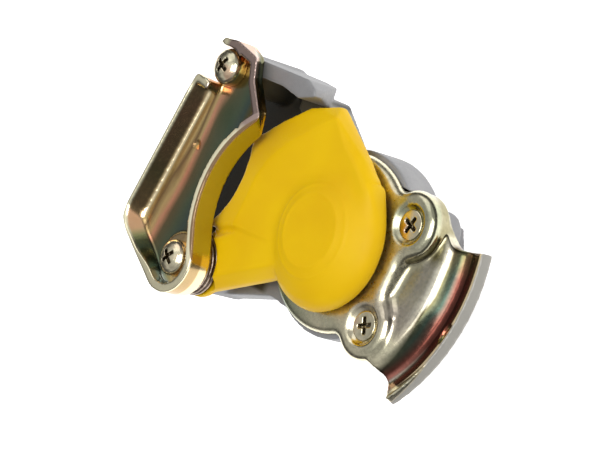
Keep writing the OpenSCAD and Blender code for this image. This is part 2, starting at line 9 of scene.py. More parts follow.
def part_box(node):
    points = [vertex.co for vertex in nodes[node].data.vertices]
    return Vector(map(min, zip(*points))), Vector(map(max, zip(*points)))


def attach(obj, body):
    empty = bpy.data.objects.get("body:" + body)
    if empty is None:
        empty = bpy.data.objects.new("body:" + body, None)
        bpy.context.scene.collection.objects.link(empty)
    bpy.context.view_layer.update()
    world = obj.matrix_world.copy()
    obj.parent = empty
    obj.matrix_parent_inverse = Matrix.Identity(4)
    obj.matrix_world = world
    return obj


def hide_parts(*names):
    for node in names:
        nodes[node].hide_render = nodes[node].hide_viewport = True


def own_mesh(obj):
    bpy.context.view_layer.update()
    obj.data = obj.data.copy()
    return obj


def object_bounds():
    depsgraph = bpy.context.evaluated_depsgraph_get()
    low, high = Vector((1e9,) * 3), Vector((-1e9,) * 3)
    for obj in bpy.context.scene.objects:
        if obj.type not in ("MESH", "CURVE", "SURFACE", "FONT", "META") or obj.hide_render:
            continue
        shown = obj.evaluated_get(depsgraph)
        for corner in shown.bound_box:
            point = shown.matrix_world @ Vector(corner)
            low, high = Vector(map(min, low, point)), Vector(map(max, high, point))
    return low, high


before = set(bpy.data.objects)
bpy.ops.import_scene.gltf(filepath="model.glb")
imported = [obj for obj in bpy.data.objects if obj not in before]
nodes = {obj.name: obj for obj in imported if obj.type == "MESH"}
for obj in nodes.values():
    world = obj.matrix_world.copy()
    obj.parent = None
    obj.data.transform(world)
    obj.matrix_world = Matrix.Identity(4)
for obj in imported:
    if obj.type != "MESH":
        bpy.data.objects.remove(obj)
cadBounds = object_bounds()
mm = 0.001
tiny = 1e-6
axisX, axisY, axisZ = (1, 0, 0), (0, 1, 0), (0, 0, 1)
softShare = 0.5  # how far a point moves to its neighbours' mean in a round
spotCore = 0.45  # the part of a soft spot's radius that is relaxed in full


def newPiece(name, verts, faces, body, slot, replaced=()):
    mesh = bpy.data.meshes.new(name)
    mesh.from_pydata([tuple(v) for v in verts], [], faces)
    mesh.validate()
    piece = bpy.data.objects.new(name, mesh)
    bpy.context.scene.collection.objects.link(piece)
    return settle(piece, body, replaced)


def settle(piece, body, replaced=()):
    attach(piece, body)
    if replaced:
        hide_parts(*replaced)
    return piece


def bakeModifiers(piece):
    # keeps the result of the modifiers as plain mesh
    graph = bpy.context.evaluated_depsgraph_get()
    done = bpy.data.meshes.new_from_object(piece.evaluated_get(graph))
    piece.modifiers.clear()
    old = piece.data
    piece.data = done
    done.name = old.name
    bpy.data.meshes.remove(old)


def shadeSmooth(piece, degrees):
    mesh = piece.data
    mesh.shade_smooth()
    mesh.set_sharp_from_angle(angle=math.radians(degrees))


def softCopy(nodeName, name, voxel, rounds, plugs=()):
    # a voxel skin of the solid, smoothed so that its edges get the radius of a real pressing or casting
    mesh = nodes[nodeName].data.copy()
    form = bmesh.new()
    form.from_mesh(mesh)
    for low, high in plugs:  # boxes in millimetres that close narrow gaps
        middle = (Vector(low) + Vector(high)) / 2
        size = Vector(high) - Vector(low)
        shape = Matrix.Translation(middle * mm) @ Matrix.Diagonal((*size, 1))
        bmesh.ops.create_cube(form, size=mm, matrix=shape)
    form.to_mesh(mesh)
    form.free()
    mesh.name = name
    piece = bpy.data.objects.new(name, mesh)
    bpy.context.scene.collection.objects.link(piece)
    skin = piece.modifiers.new("skin", "REMESH")
    skin.mode = "VOXEL"
    skin.voxel_size = voxel
    skin.use_smooth_shade = True
    smooth = piece.modifiers.new("smooth", "SMOOTH")
    smooth.factor = softShare
    smooth.iterations = rounds
    bakeModifiers(piece)
    piece.data.shade_smooth()
    return piece


def readPoints(mesh):
    flat = numpy.empty(len(mesh.vertices) * 3, dtype=numpy.float32)
    mesh.vertices.foreach_get("co", flat)
    return flat.reshape(-1, 3).astype(numpy.float64) / mm


def writePoints(mesh, points):
    mesh.vertices.foreach_set("co", (points * mm).astype(numpy.float32).ravel())
    mesh.update()


def sculpt(piece, move):
    # move takes the points in millimetres with their normals and gives back the points
    mesh = piece.data
    facing = numpy.empty(len(mesh.vertices) * 3, dtype=numpy.float32)
    mesh.vertex_normals.foreach_get("vector", facing)
    writePoints(mesh, move(readPoints(mesh), facing.reshape(-1, 3)))


def relax(piece, rounds, share):
    # evens the skin out, each point by the share that it gets for its place
    mesh = piece.data
    points = readPoints(mesh)
    pairs = numpy.empty(len(mesh.edges) * 2, dtype=numpy.int32)
    mesh.edges.foreach_get("vertices", pairs)
    first, second = pairs.reshape(-1, 2).T
    here = numpy.concatenate([first, second])
    there = numpy.concatenate([second, first])
    count = len(points)
    links = numpy.maximum(numpy.bincount(here, minlength=count), 1)[:, None]
    weight = softShare * share(points)[:, None]
    for _ in range(rounds):
        sums = [numpy.bincount(here, weights=points[there, k], minlength=count) for k in range(3)]
        points += weight * (numpy.column_stack(sums) / links - points)
    writePoints(mesh, points)


def ease(value, low, high):
    # 0 below low, 1 above high and a soft step between them; low may be the larger one
    t = numpy.clip((value - low) / (high - low), 0, 1)
    return t * t * (3 - 2 * t)


def awayFrom(points, at):
    # flat distance from a place
    return numpy.hypot(points[:, 0] - at[0], points[:, 1] - at[1])


def spotShare(points, spots):
    # the share of relaxing round a few places, each with its radius
    share = numpy.zeros(len(points))
    for at, radius in spots:
        share = numpy.maximum(share, ease(awayFrom(points, at), radius, spotCore * radius))
    return share


def tube(path, radius, sides):
    # a closed tube of round wire along a path of points
    verts = []
    faces = []
    count = len(path)
    for i, point in enumerate(path):
        ahead = (Vector(path[min(i + 1, count - 1)]) - Vector(path[max(i - 1, 0)])).normalized()
        side = ahead.cross(Vector(axisZ))
        side = side.normalized() if side.length > tiny else Vector(axisX)
        up = side.cross(ahead)
        for k in range(sides):
            a = 2 * math.pi * k / sides
            verts.append(Vector(point) + radius * (math.cos(a) * side + math.sin(a) * up))
    for i in range(count - 1):
        for k in range(sides):
            j = (k + 1) % sides
            faces.append((i * sides + k, i * sides + j, (i + 1) * sides + j, (i + 1) * sides + k))
    faces.append(tuple(range(sides - 1, -1, -1)))
    faces.append(tuple(range((count - 1) * sides, count * sides)))
    return verts, faces


def newMaterial(name, colour, metallic, roughness):
    material = bpy.data.materials.new(name)
    material.use_nodes = True
    shader = material.node_tree.nodes["Principled BSDF"]
    shader.inputs["Base Color"].default_value = (*colour, 1)
    shader.inputs["Metallic"].default_value = metallic
    shader.inputs["Roughness"].default_value = roughness
    return material, material.node_tree, shader


def place(tree, scale=(1, 1, 1), turn=(0, 0, 0)):
    coords = tree.nodes.new("ShaderNodeTexCoord")
    mapping = tree.nodes.new("ShaderNodeMapping")
    mapping.inputs["Scale"].default_value = scale
    mapping.inputs["Rotation"].default_value = turn
    tree.links.new(coords.outputs["Object"], mapping.inputs["Vector"])
    return mapping.outputs["Vector"]


def noiseTo(tree, where, scale, detail, roughness, distortion=0.0):
    texture = tree.nodes.new("ShaderNodeTexNoise")
    texture.inputs["Scale"].default_value = scale
    texture.inputs["Detail"].default_value = detail
    texture.inputs["Roughness"].default_value = roughness
    texture.inputs["Distortion"].default_value = distortion
    tree.links.new(where, texture.inputs["Vector"])
    return texture.outputs["Fac"]


def ramp(tree, source, stops):
    node = tree.nodes.new("ShaderNodeValToRGB")
    band = node.color_ramp
    while len(band.elements) < len(stops):
        band.elements.new(0.5)
    for element, (at, colour) in zip(band.elements, stops):
        element.position = at
        element.color = (*colour, 1)
    tree.links.new(source, node.inputs["Fac"])
    return node.outputs["Color"]


def span(tree, source, low, high, fromLow, fromHigh):
    # low to high while the source goes from fromLow to fromHigh
    node = tree.nodes.new("ShaderNodeMapRange")
    node.inputs["From Min"].default_value = fromLow
    node.inputs["From Max"].default_value = fromHigh
    node.inputs["To Min"].default_value = low
    node.inputs["To Max"].default_value = high
    tree.links.new(source, node.inputs["Value"])
    return node.outputs["Result"]


def within(tree, source, start, end):
    # 1 up to start, 0 from end on
    return span(tree, source, 1.0, 0.0, start, end)


def beyond(tree, source, start, end):
    # 0 up to start, 1 from end on
    return span(tree, source, 0.0, 1.0, start, end)


def mixColour(tree, amount, first, second, blend="MIX"):
    node = tree.nodes.new("ShaderNodeMix")
    node.data_type = "RGBA"
    node.blend_type = blend
    ins = [s for s in node.inputs if s.enabled]
    for socket, value in zip(ins, (amount, first, second)):
        if isinstance(value, bpy.types.NodeSocket):
            tree.links.new(value, socket)
        elif isinstance(value, tuple):
            socket.default_value = (*value, 1)
        else:
            socket.default_value = value
    return [s for s in node.outputs if s.enabled][0]


def number(tree, operation, first, second=0.0, third=0.0):
    node = tree.nodes.new("ShaderNodeMath")
    node.operation = operation
    for socket, value in zip(node.inputs, (first, second, third)):
        if isinstance(value, bpy.types.NodeSocket):
            tree.links.new(value, socket)
        else:
            socket.default_value = value
    return node.outputs["Value"]


def times(tree, *masks):
    # the product of some masks
    product = masks[0]
    for mask in masks[1:]:
        product = number(tree, "MULTIPLY", product, mask)
    return product


def vectorTo(tree, where, operation, other, output):
    node = tree.nodes.new("ShaderNodeVectorMath")
    node.operation = operation
    node.inputs[1].default_value = other
    tree.links.new(where, node.inputs[0])
    return node.outputs[output]


def cross(tree, where, direction, start, end):
    # 0 at start and 1 at end along a flat direction, in metres
    return beyond(tree, vectorTo(tree, where, "DOT_PRODUCT", direction, "Value"), start, end)


def roundAxis(tree, where):
    # distance from the seal axis and direction round it, in metres and radians
    parts = tree.nodes.new("ShaderNodeSeparateXYZ")
    tree.links.new(where, parts.inputs["Vector"])
    across = number(tree, "MULTIPLY", parts.outputs["X"], parts.outputs["X"])
    reach = number(tree, "SQRT", number(tree, "MULTIPLY_ADD", parts.outputs["Y"], parts.outputs["Y"], across))
    return reach, number(tree, "ARCTAN2", parts.outputs["Y"], parts.outputs["X"])


def addBump(tree, shader, height, strength, distance):
    bump = tree.nodes.new("ShaderNodeBump")
    bump.inputs["Strength"].default_value = strength
    bump.inputs["Distance"].default_value = distance
    tree.links.new(height, bump.inputs["Height"])
    tree.links.new(bump.outputs["Normal"], shader.inputs["Normal"])


def putOn(piece, material):
    piece.data.materials.clear()
    piece.data.materials.append(material)


# in the looks below a noise is scale, detail, roughness and distortion, and a bump is strength and distance;
# other pairs are the start and end of a change, in metres, radians or noise levels, and four plain numbers are
# two values and the start and end of the change between them
# the blasted outside is pale; the bay between the arms gets a painted shade, darkest low down
castLook = {
    "colour": (0.225, 0.222, 0.225), "light": (0.32, 0.317, 0.32), "lightFrom": (0.3, 0.7),
    # the bay colours below are painted shade between the arms, darker low down and lighter higher up
    "inside": (0.034, 0.032, 0.024), "bayShadeHigh": (0.22, 0.19, 0.12), "bayShadeRange": (0.0300, 0.0400),
    "metallic": 0.35, "roughness": 0.52, "patch": (60, 5, 0.6), "grain": (2400, 2, 0.6),
    "gloss": (0.45, 0.65, 0.3, 0.7), "bump": (0.4, 0.0001),
    "bayTop": (0.0337, 0.0328), "baySide": (-0.0225, -0.0250), "bayFoot": (-0.0226, -0.0216),
    "bayFloor": (0.0238, 0.0246), "bayRoof": (0.0447, 0.0441)}


def castAluminium():
    look = castLook
    material, tree, shader = newMaterial("castAluminium", look["colour"], look["metallic"], look["roughness"])
    where = place(tree)
    patch = noiseTo(tree, where, *look["patch"])
    grain = noiseTo(tree, where, *look["grain"])
    low, high = look["lightFrom"]
    bare = ramp(tree, patch, [(low, look["colour"]), (high, look["light"])])
    # painted shade: the bay between the arms is darkened, less so higher up
    bayShadeMask = times(tree, cross(tree, where, axisY, *look["bayTop"]), cross(tree, where, axisX, *look["baySide"]),
                cross(tree, where, axisY, *look["bayFoot"]), cross(tree, where, axisZ, *look["bayFloor"]),
                cross(tree, where, axisZ, *look["bayRoof"]))
    inside = mixColour(tree, cross(tree, where, axisZ, *look["bayShadeRange"]), look["inside"], look["bayShadeHigh"])
    tree.links.new(mixColour(tree, bayShadeMask, bare, inside), shader.inputs["Base Color"])
    tree.links.new(span(tree, grain, *look["gloss"]), shader.inputs["Roughness"])
    addBump(tree, shader, grain, *look["bump"])
    return material


# tones of the yellow passivation, which both pressings share
zinc = {
    "straw": (0.90, 0.82, 0.58), "cream": (0.98, 0.92, 0.74), "gold": (0.80, 0.60, 0.30), "green": (0.26, 0.34, 0.20),
    "rose": (0.92, 0.46, 0.31), "brown": (0.30, 0.19, 0.10), "wine": (0.17, 0.055, 0.04), "lilac": (0.33, 0.28, 0.25),
    "olive": (0.15, 0.12, 0.05), "slate": (0.09, 0.13, 0.125), "moss": (0.50, 0.48, 0.13), "copper": (0.52, 0.28, 0.15),
    "pink": (0.66, 0.26, 0.20), "butter": (0.98, 0.90, 0.62), "mauve": (0.42, 0.31, 0.27)}
zincLook = {
    "metallic": 1.0, "roughness": 0.2, "grain": (1100, 4, 0.65), "cloud": (30, 2.5, 0.45, 0.5),
    "gloss": (0.13, 0.24, 0.3, 0.7), "bump": (0.05, 0.00006)}


def zincSkin(name):
    look = zincLook
    material, tree, shader = newMaterial(name, zinc["gold"], look["metallic"], look["roughness"])
    plain = place(tree)
    grain = noiseTo(tree, plain, *look["grain"])
    cloud = noiseTo(tree, plain, *look["cloud"])
    addBump(tree, shader, grain, *look["bump"])
    return material, tree, shader, plain, cloud, span(tree, grain, *look["gloss"])


# the passivation runs in bands along the pan's straight wall, and each wall has a tone of its own
clawLook = {
    "inward": (0.976, -0.218, 0), "wallAlong": (0.218, 0.976, 0),
    "upward": (0.5, 0.866, 0), "lowAlong": (0.866, -0.5, 0),
    "streakStretch": (1.0, 0.22, 0.7), "streakTurn": math.radians(12.6), "streak": (70, 3, 0.5, 0.8),
    "floorRange": (-0.0636, -0.0340), "floorWander": (-0.06, 0.06, 0.25, 0.75),
    # the first gold stop past the wall continues the painted highlight of the bend; the other stops are the zinc's
    # tones
    "floor": [(0.0, zinc["olive"]), (0.20, zinc["gold"]), (0.25, zinc["brown"]), (0.31, zinc["gold"]),
              (0.36, zinc["rose"]), (0.45, (0.20, 0.17, 0.10)), (0.60, (0.13, 0.17, 0.12)), (0.70, zinc["slate"]), (0.78, zinc["olive"]),
              (0.84, zinc["gold"]), (1.0, zinc["straw"])],
    "tint": [(0.32, (0.62, 0.82, 0.70)), (0.46, (1.0, 0.96, 0.86)), (0.56, (1.0, 0.92, 0.78)),
             (0.68, (1.0, 0.76, 0.66))],
    # the fold colour is a painted highlight on the bend at the left wall's foot
    "foldStart": (-0.0603, -0.0599), "foldEnd": (-0.0588, -0.0592), "foldHighlight": (0.93, 0.76, 0.47),
    "wallRange": (-0.030, 0.020), "wallWander": (-0.2, 0.2, 0.25, 0.75),
    "wall": [(0.1, (0.52, 0.36, 0.18)), (0.35, (0.30, 0.25, 0.12)), (0.6, (0.44, 0.27, 0.15)),
             (0.8, (0.36, 0.30, 0.15)), (0.95, zinc["green"])],
    "lowRange": (-0.052, -0.028),
    "low": [(0.05, (0.95, 0.56, 0.32)), (0.3, (0.95, 0.60, 0.34)), (0.42, (0.62, 0.66, 0.30)), (0.6, zinc["green"]),
            (0.78, (0.22, 0.26, 0.14)), (0.9, (0.30, 0.36, 0.28)), (1.0, (0.40, 0.45, 0.38))],
    "lowWall": (-0.0464, -0.0472), "upWall": (0.0240, 0.0260), "overFloor": (0.0480, 0.0486),
    "hollow": (-0.0112, -0.0013, 0.0),
    # the glow entries place a painted highlight band on the floor round the hollow
    "glowReach": (0.0312, 0.0326), "glowTop": (0.0190, 0.0150), "glowFoot": (-0.0170, -0.0150), "glowShare": 0.9,
    "mauveFrom": (0.0165, 0.0200), "mauveInward": (-0.0580, -0.0565), "overWalls": (0.0515, 0.0519),
    "lineReach": (0.0290, 0.0292), "lineAbove": (0.0513, 0.0518),
    "outerReach": (0.02835, 0.0287), "outerBelow": (0.0519, 0.0514), "outerDull": 0.16,
    "paleRange": (-0.0400, -0.0440), "lipReach": (0.0305, 0.0309), "paleMetal": -0.55}


def clawZinc():
    material, tree, shader, plain, cloud, gloss = zincSkin("yellowZincClaw")
    look = clawLook
    streak = noiseTo(tree, place(tree, look["streakStretch"], (0, 0, look["streakTurn"])), *look["streak"])
    band = cross(tree, plain, look["inward"], *look["floorRange"])
    band = number(tree, "ADD", band, span(tree, streak, *look["floorWander"]))
    floor = mixColour(tree, 1.0, ramp(tree, band, look["floor"]), ramp(tree, cloud, look["tint"]), "MULTIPLY")
    # painted highlight: a light band along the bend at the left wall's foot
    foldHighlight = times(tree, cross(tree, plain, look["inward"], *look["foldStart"]),
                 cross(tree, plain, look["inward"], *look["foldEnd"]))
    colour = mixColour(tree, foldHighlight, floor, look["foldHighlight"])
    # walls
    along = cross(tree, plain, look["wallAlong"], *look["wallRange"])
    wallTone = ramp(tree, number(tree, "ADD", along, span(tree, streak, *look["wallWander"])), look["wall"])
    lowTone = ramp(tree, cross(tree, plain, look["lowAlong"], *look["lowRange"]), look["low"])
    lowWall = cross(tree, plain, look["upward"], *look["lowWall"])
    upWall = cross(tree, plain, axisY, *look["upWall"])
    walls = mixColour(tree, upWall, mixColour(tree, lowWall, wallTone, lowTone), zinc["copper"])
    overFloor = cross(tree, plain, axisZ, *look["overFloor"])
    colour = mixColour(tree, overFloor, colour, walls)
    # round the hollow: a painted highlight band on the floor, a pale rim with a thin dark line, a dull olive wall
    # outside
    flat = vectorTo(tree, plain, "MULTIPLY", (1, 1, 0), "Vector")
    away = vectorTo(tree, flat, "DISTANCE", look["hollow"], "Value")
    overWalls = cross(tree, plain, axisZ, *look["overWalls"])
    # painted highlight: a cream band on the floor just inside the hollow's rim
    glow = times(tree, within(tree, away, *look["glowReach"]), cross(tree, plain, axisY, *look["glowTop"]),
                 cross(tree, plain, axisY, *look["glowFoot"]), look["glowShare"])
    colour = mixColour(tree, glow, colour, zinc["cream"])
    upper = times(tree, cross(tree, plain, axisY, *look["mauveFrom"]),
                  cross(tree, plain, look["inward"], *look["mauveInward"]))
    colour = mixColour(tree, overWalls, colour, mixColour(tree, upper, zinc["butter"], zinc["mauve"]))
    line = times(tree, within(tree, away, *look["lineReach"]), cross(tree, plain, axisZ, *look["lineAbove"]))
    colour = mixColour(tree, line, colour, zinc["brown"])
    outer = times(tree, within(tree, away, *look["outerReach"]), cross(tree, plain, axisZ, *look["outerBelow"]))
    tree.links.new(mixColour(tree, outer, colour, zinc["moss"]), shader.inputs["Base Color"])
    tree.links.new(number(tree, "MULTIPLY_ADD", outer, look["outerDull"], gloss), shader.inputs["Roughness"])
    # less metallic, so paler, on the low wall's first part and on the hollow's rim
    pale = times(tree, lowWall, cross(tree, plain, look["lowAlong"], *look["paleRange"]), overFloor)
    pale = number(tree, "MAXIMUM", pale, times(tree, within(tree, away, *look["lipReach"]), overWalls))
    tree.links.new(number(tree, "MULTIPLY_ADD", pale, look["paleMetal"], 1.0), shader.inputs["Metallic"])
    return material


# straw and grey on the plateau; in the groove olive, teal and wine, where the dark olive and teal just past the bend
# are partly painted shade; painted highlights in cream at the bend and near the rim; a bare cut edge
flangeLook = {
    "wander": (-0.0009, 0.0009, 0.3, 0.7), "turnWander": (-0.08, 0.08, 0.3, 0.7), "range": (0.024, 0.048),
    "speck": (900, 3, 0.7), "speckDepth": (0.8, 1.0, 0.35, 0.65),
    "lowerTurn": (-0.62, -0.36), "upperTurn": (0.10, 0.34),
    # in these ramps the cream and straw stops at the bend and the cream stops further out are painted highlights, the
    # dark olive and teal stops just past the bend partly painted shade
    "middle": [(0.20, (0.52, 0.48, 0.32)), (0.27, (0.52, 0.48, 0.38)), (0.37, (0.56, 0.52, 0.40)),
               (0.43, zinc["cream"]), (0.48, zinc["cream"]), (0.535, (0.10, 0.09, 0.045)), (0.60, (0.055, 0.085, 0.065)), (0.67, zinc["wine"]),
               (0.74, zinc["wine"]), (0.81, (0.40, 0.13, 0.08)), (0.87, (0.30, 0.22, 0.08)), (0.905, zinc["gold"])],
    "lower": [(0.37, zinc["straw"]), (0.47, zinc["straw"]), (0.53, (0.12, 0.16, 0.09)), (0.62, (0.08, 0.06, 0.04)),
              (0.67, zinc["wine"]), (0.72, zinc["pink"]), (0.765, zinc["cream"]), (0.81, zinc["copper"]),
              (0.88, zinc["brown"]), (0.92, zinc["cream"])],
    "upper": [(0.40, zinc["straw"]), (0.47, zinc["cream"]), (0.54, (0.14, 0.09, 0.05)), (0.62, (0.20, 0.19, 0.07)),
              (0.70, zinc["olive"]), (0.80, (0.12, 0.18, 0.07)), (0.86, zinc["wine"]), (0.90, zinc["moss"]),
              (0.94, zinc["cream"])],
    "pad": [(0.30, zinc["green"]), (0.40, (0.62, 0.60, 0.42)), (0.50, zinc["straw"]), (0.60, (0.66, 0.58, 0.46)),
            (0.72, zinc["lilac"])],
    "padAbove": (0.0326, 0.0338), "padDull": (0.12, 0.0, 0.0235, 0.0265),
    "dentFoot": (-0.0120, -0.0114), "dentTop": (-0.0072, -0.0078), "dentReach": (0.0437, 0.0443),
    "dent": (0.50, 0.50, 0.22),
    "earFoot": (0.0040, 0.0070), "earReach": (0.0350, 0.0365), "earShare": 0.85, "ear": (0.26, 0.23, 0.11),
    # the line colour is a painted highlight along the rim
    "edgeBelow": (0.0330, 0.0326), "lineReach": (0.0451, 0.0454), "line": (0.95, 0.78, 0.50), "lineMetal": -0.6,
    "cutReach": (0.04655, 0.04675), "cut": (0.36, 0.345, 0.31), "cutDull": 0.3}


def flangeZinc():
    material, tree, shader, plain, cloud, gloss = zincSkin("yellowZincFlange")
    look = flangeLook
    reach, heading = roundAxis(tree, plain)
    wander = number(tree, "ADD", reach, span(tree, cloud, *look["wander"]))
    turned = number(tree, "ADD", heading, span(tree, cloud, *look["turnWander"]))
    far = beyond(tree, wander, *look["range"])
    # the groove ramps hold painted highlights at the bend and near the rim and painted shade just past the bend
    middle, lower, upper = (ramp(tree, far, look[part]) for part in ("middle", "lower", "upper"))
    groove = mixColour(tree, within(tree, turned, *look["lowerTurn"]), middle, lower)
    groove = mixColour(tree, beyond(tree, turned, *look["upperTurn"]), groove, upper)
    # the rim's dent and the side of the upper ear
    dent = times(tree, cross(tree, plain, axisY, *look["dentFoot"]), cross(tree, plain, axisY, *look["dentTop"]),
                 beyond(tree, reach, *look["dentReach"]))
    groove = mixColour(tree, dent, groove, look["dent"])
    earSide = times(tree, cross(tree, plain, axisY, *look["earFoot"]), within(tree, reach, *look["earReach"]),
                    look["earShare"])
    groove = mixColour(tree, earSide, groove, look["ear"])
    # raised pad, and fine specks over all
    colour = mixColour(tree, cross(tree, plain, axisZ, *look["padAbove"]), groove, ramp(tree, cloud, look["pad"]))
    speck = span(tree, noiseTo(tree, plain, *look["speck"]), *look["speckDepth"])
    shade = ramp(tree, speck, [(0.0, (0, 0, 0)), (1.0, (1, 1, 1))])
    colour = mixColour(tree, 1.0, colour, shade, "MULTIPLY")
    # rim: a painted highlight line, then the cut edge
    edge = cross(tree, plain, axisZ, *look["edgeBelow"])
    line = times(tree, beyond(tree, wander, *look["lineReach"]), edge)
    colour = mixColour(tree, line, colour, look["line"])
    cut = times(tree, beyond(tree, reach, *look["cutReach"]), edge)
    tree.links.new(mixColour(tree, cut, colour, look["cut"]), shader.inputs["Base Color"])
    gloss = number(tree, "ADD", gloss, span(tree, reach, *look["padDull"]))
    tree.links.new(number(tree, "MULTIPLY_ADD", cut, look["cutDull"], gloss), shader.inputs["Roughness"])
    tree.links.new(number(tree, "MULTIPLY_ADD", line, look["lineMetal"], 1.0), shader.inputs["Metallic"])
    return material


# bright crown, gold below it and painted shade in the cross recess; lengths in millimetres below the screw's top
screwLook = {
    "colour": (0.62, 0.56, 0.44), "metallic": 1.0, "roughness": 0.2, "cloud": (140, 3, 0.5, 0.4),
    "crown": [(0.35, (0.58, 0.54, 0.38)), (0.5, (0.90, 0.80, 0.56)), (0.65, (0.82, 0.57, 0.38))],
    "gold": [(0.35, (0.62, 0.42, 0.16)), (0.6, (0.86, 0.62, 0.26))], "goldFade": 0.5,
    "recess": (0.15, 0.125, 0.08), "recessMiddle": 1.2, "recessReach": (2.6, 2.8), "recessBelow": (0.3, 0.6),
    "grain": (1200, 3, 0.6), "gloss": (0.12, 0.24, 0.3, 0.7)}


def screwSteel(name, at, top, side):
    look = screwLook
    material, tree, shader = newMaterial(name, look["colour"], look["metallic"], look["roughness"])
    plain = place(tree)
    cloud = noiseTo(tree, plain, *look["cloud"])
    below = cross(tree, plain, axisZ, (top - side) * mm, (top - side - look["goldFade"]) * mm)
    colour = mixColour(tree, below, ramp(tree, cloud, look["crown"]), ramp(tree, cloud, look["gold"]))
    middle = (at[0] * mm, at[1] * mm, (top - look["recessMiddle"]) * mm)
    away = vectorTo(tree, plain, "DISTANCE", middle, "Value")
    start, end = look["recessReach"]
    upper, lower = look["recessBelow"]
    # painted shade darkens the cross recess
    recess = times(tree, within(tree, away, start * mm, end * mm),
                   cross(tree, plain, axisZ, (top - upper) * mm, (top - lower) * mm))
    tree.links.new(mixColour(tree, recess, colour, look["recess"]), shader.inputs["Base Color"])
    grain = noiseTo(tree, plain, *look["grain"])
    tree.links.new(span(tree, grain, *look["gloss"]), shader.inputs["Roughness"])
    return material


capLook = {
    "colour": (0.79, 0.495, 0.0), "shade": (0.73, 0.43, 0.0), "shadeFrom": (0.35, 0.65),
    "metallic": 0.0, "roughness": 0.4, "patch": (45, 3, 0.5), "leather": (1800, 2, 0.5),
    "gloss": (0.48, 0.58, 0.3, 0.7), "bump": (0.08, 0.0001), "specular": 0.2,
    "glow": 0.06, "glowRadius": (0.002, 0.001, 0.0004)}


def capPlastic():
    look = capLook
    material, tree, shader = newMaterial("capPlastic", look["colour"], look["metallic"], look["roughness"])
    plain = place(tree)
    patch = noiseTo(tree, plain, *look["patch"])
    low, high = look["shadeFrom"]
    tree.links.new(ramp(tree, patch, [(low, look["shade"]), (high, look["colour"])]), shader.inputs["Base Color"])
    leather = noiseTo(tree, plain, *look["leather"])
    tree.links.new(span(tree, leather, *look["gloss"]), shader.inputs["Roughness"])
    addBump(tree, shader, leather, *look["bump"])
    shader.inputs["Specular IOR Level"].default_value = look["specular"]
    shader.inputs["Subsurface Weight"].default_value = look["glow"]
    shader.inputs["Subsurface Radius"].default_value = look["glowRadius"]
    return material


# skins with one grain, which sets both tone and bump
darkSteel = {
    "colour": (0.05, 0.045, 0.04), "metallic": 0.9, "roughness": 0.38, "grain": (700, 4, 0.6),
    "tones": [(0.35, (0.03, 0.028, 0.026)), (0.7, (0.11, 0.09, 0.07))], "bump": 0.2}
springWire = {
    "colour": (0.3, 0.22, 0.17), "metallic": 1.0, "roughness": 0.3, "grain": (600, 4, 0.6),
    "tones": [(0.35, (0.17, 0.11, 0.08)), (0.7, (0.46, 0.38, 0.30))], "bump": 0.0}
sealRubber = {
    "colour": (0.025, 0.025, 0.025), "metallic": 0.0, "roughness": 0.6, "grain": (1500, 3, 0.6),
    "tones": [(0.3, (0.018, 0.018, 0.018)), (0.8, (0.045, 0.044, 0.042))], "bump": 0.2}
valvePlastic = {
    "colour": (0.62, 0.61, 0.57), "metallic": 0.0, "roughness": 0.45, "grain": (500, 3, 0.6),
    "tones": [(0.3, (0.56, 0.55, 0.51)), (0.8, (0.68, 0.67, 0.63))], "bump": 0.1}
bumpDistance = 0.0001


def grainSkin(name, look):
    material, tree, shader = newMaterial(name, look["colour"], look["metallic"], look["roughness"])
    grain = noiseTo(tree, place(tree), *look["grain"])
    tree.links.new(ramp(tree, grain, look["tones"]), shader.inputs["Base Color"])
    if look["bump"]:
        addBump(tree, shader, grain, look["bump"], bumpDistance)
    return material


finish = {
    "cast": castAluminium(),
    "claw": clawZinc(),
    "flange": flangeZinc(),
    "dark": grainSkin("darkSteel", darkSteel),
    "cap": capPlastic(),
    "spring": grainSkin("springWire", springWire),
    "rubber": grainSkin("sealRubber", sealRubber),
    "valve": grainSkin("valvePlastic", valvePlastic),
}
print("finishes made:", len(finish))


# cast housing, its edges rounded as a casting's are
castHousing = {
    "voxel": 0.5 * mm, "rounds": 6, "lug": (-56.8, -11.6), "lugRadius": 2.0, "lugFlare": 2.4,
    "lugBlend": (1.6, 0.8), "lugHeights": (37.0, 30.0)}


def shapeHousing(points, facing):
    # the foot of the spring's lug flares towards the lower arm
    look = castHousing
    outside, inside = look["lugBlend"]
    near = ease(awayFrom(points, look["lug"]), look["lugRadius"] + outside, look["lugRadius"] + inside)
    near *= ease(points[:, 2], *look["lugHeights"])
    y = points[:, 1] - look["lug"][1]
    points[:, 1] -= look["lugFlare"] * near * numpy.clip(-y / look["lugRadius"], 0, 1)
    return points


housing = softCopy("housing", "castHousing", castHousing["voxel"], castHousing["rounds"])
sculpt(housing, shapeHousing)
putOn(housing, finish["cast"])
settle(housing, "base", ["housing"])
print("housing:", len(housing.data.polygons), "faces")

# turns of the port's thread, a ridge that winds up the bore and fades at both ends
portThread = {
    "radius": 7.25, "depth": 0.55, "pitch": 1.5, "from": 0.9, "to": 12.6, "steps": 72,
    "flank": 0.42, "crest": 0.06, "root": 0.3, "fadeSteps": 18, "sharpAbove": 40}


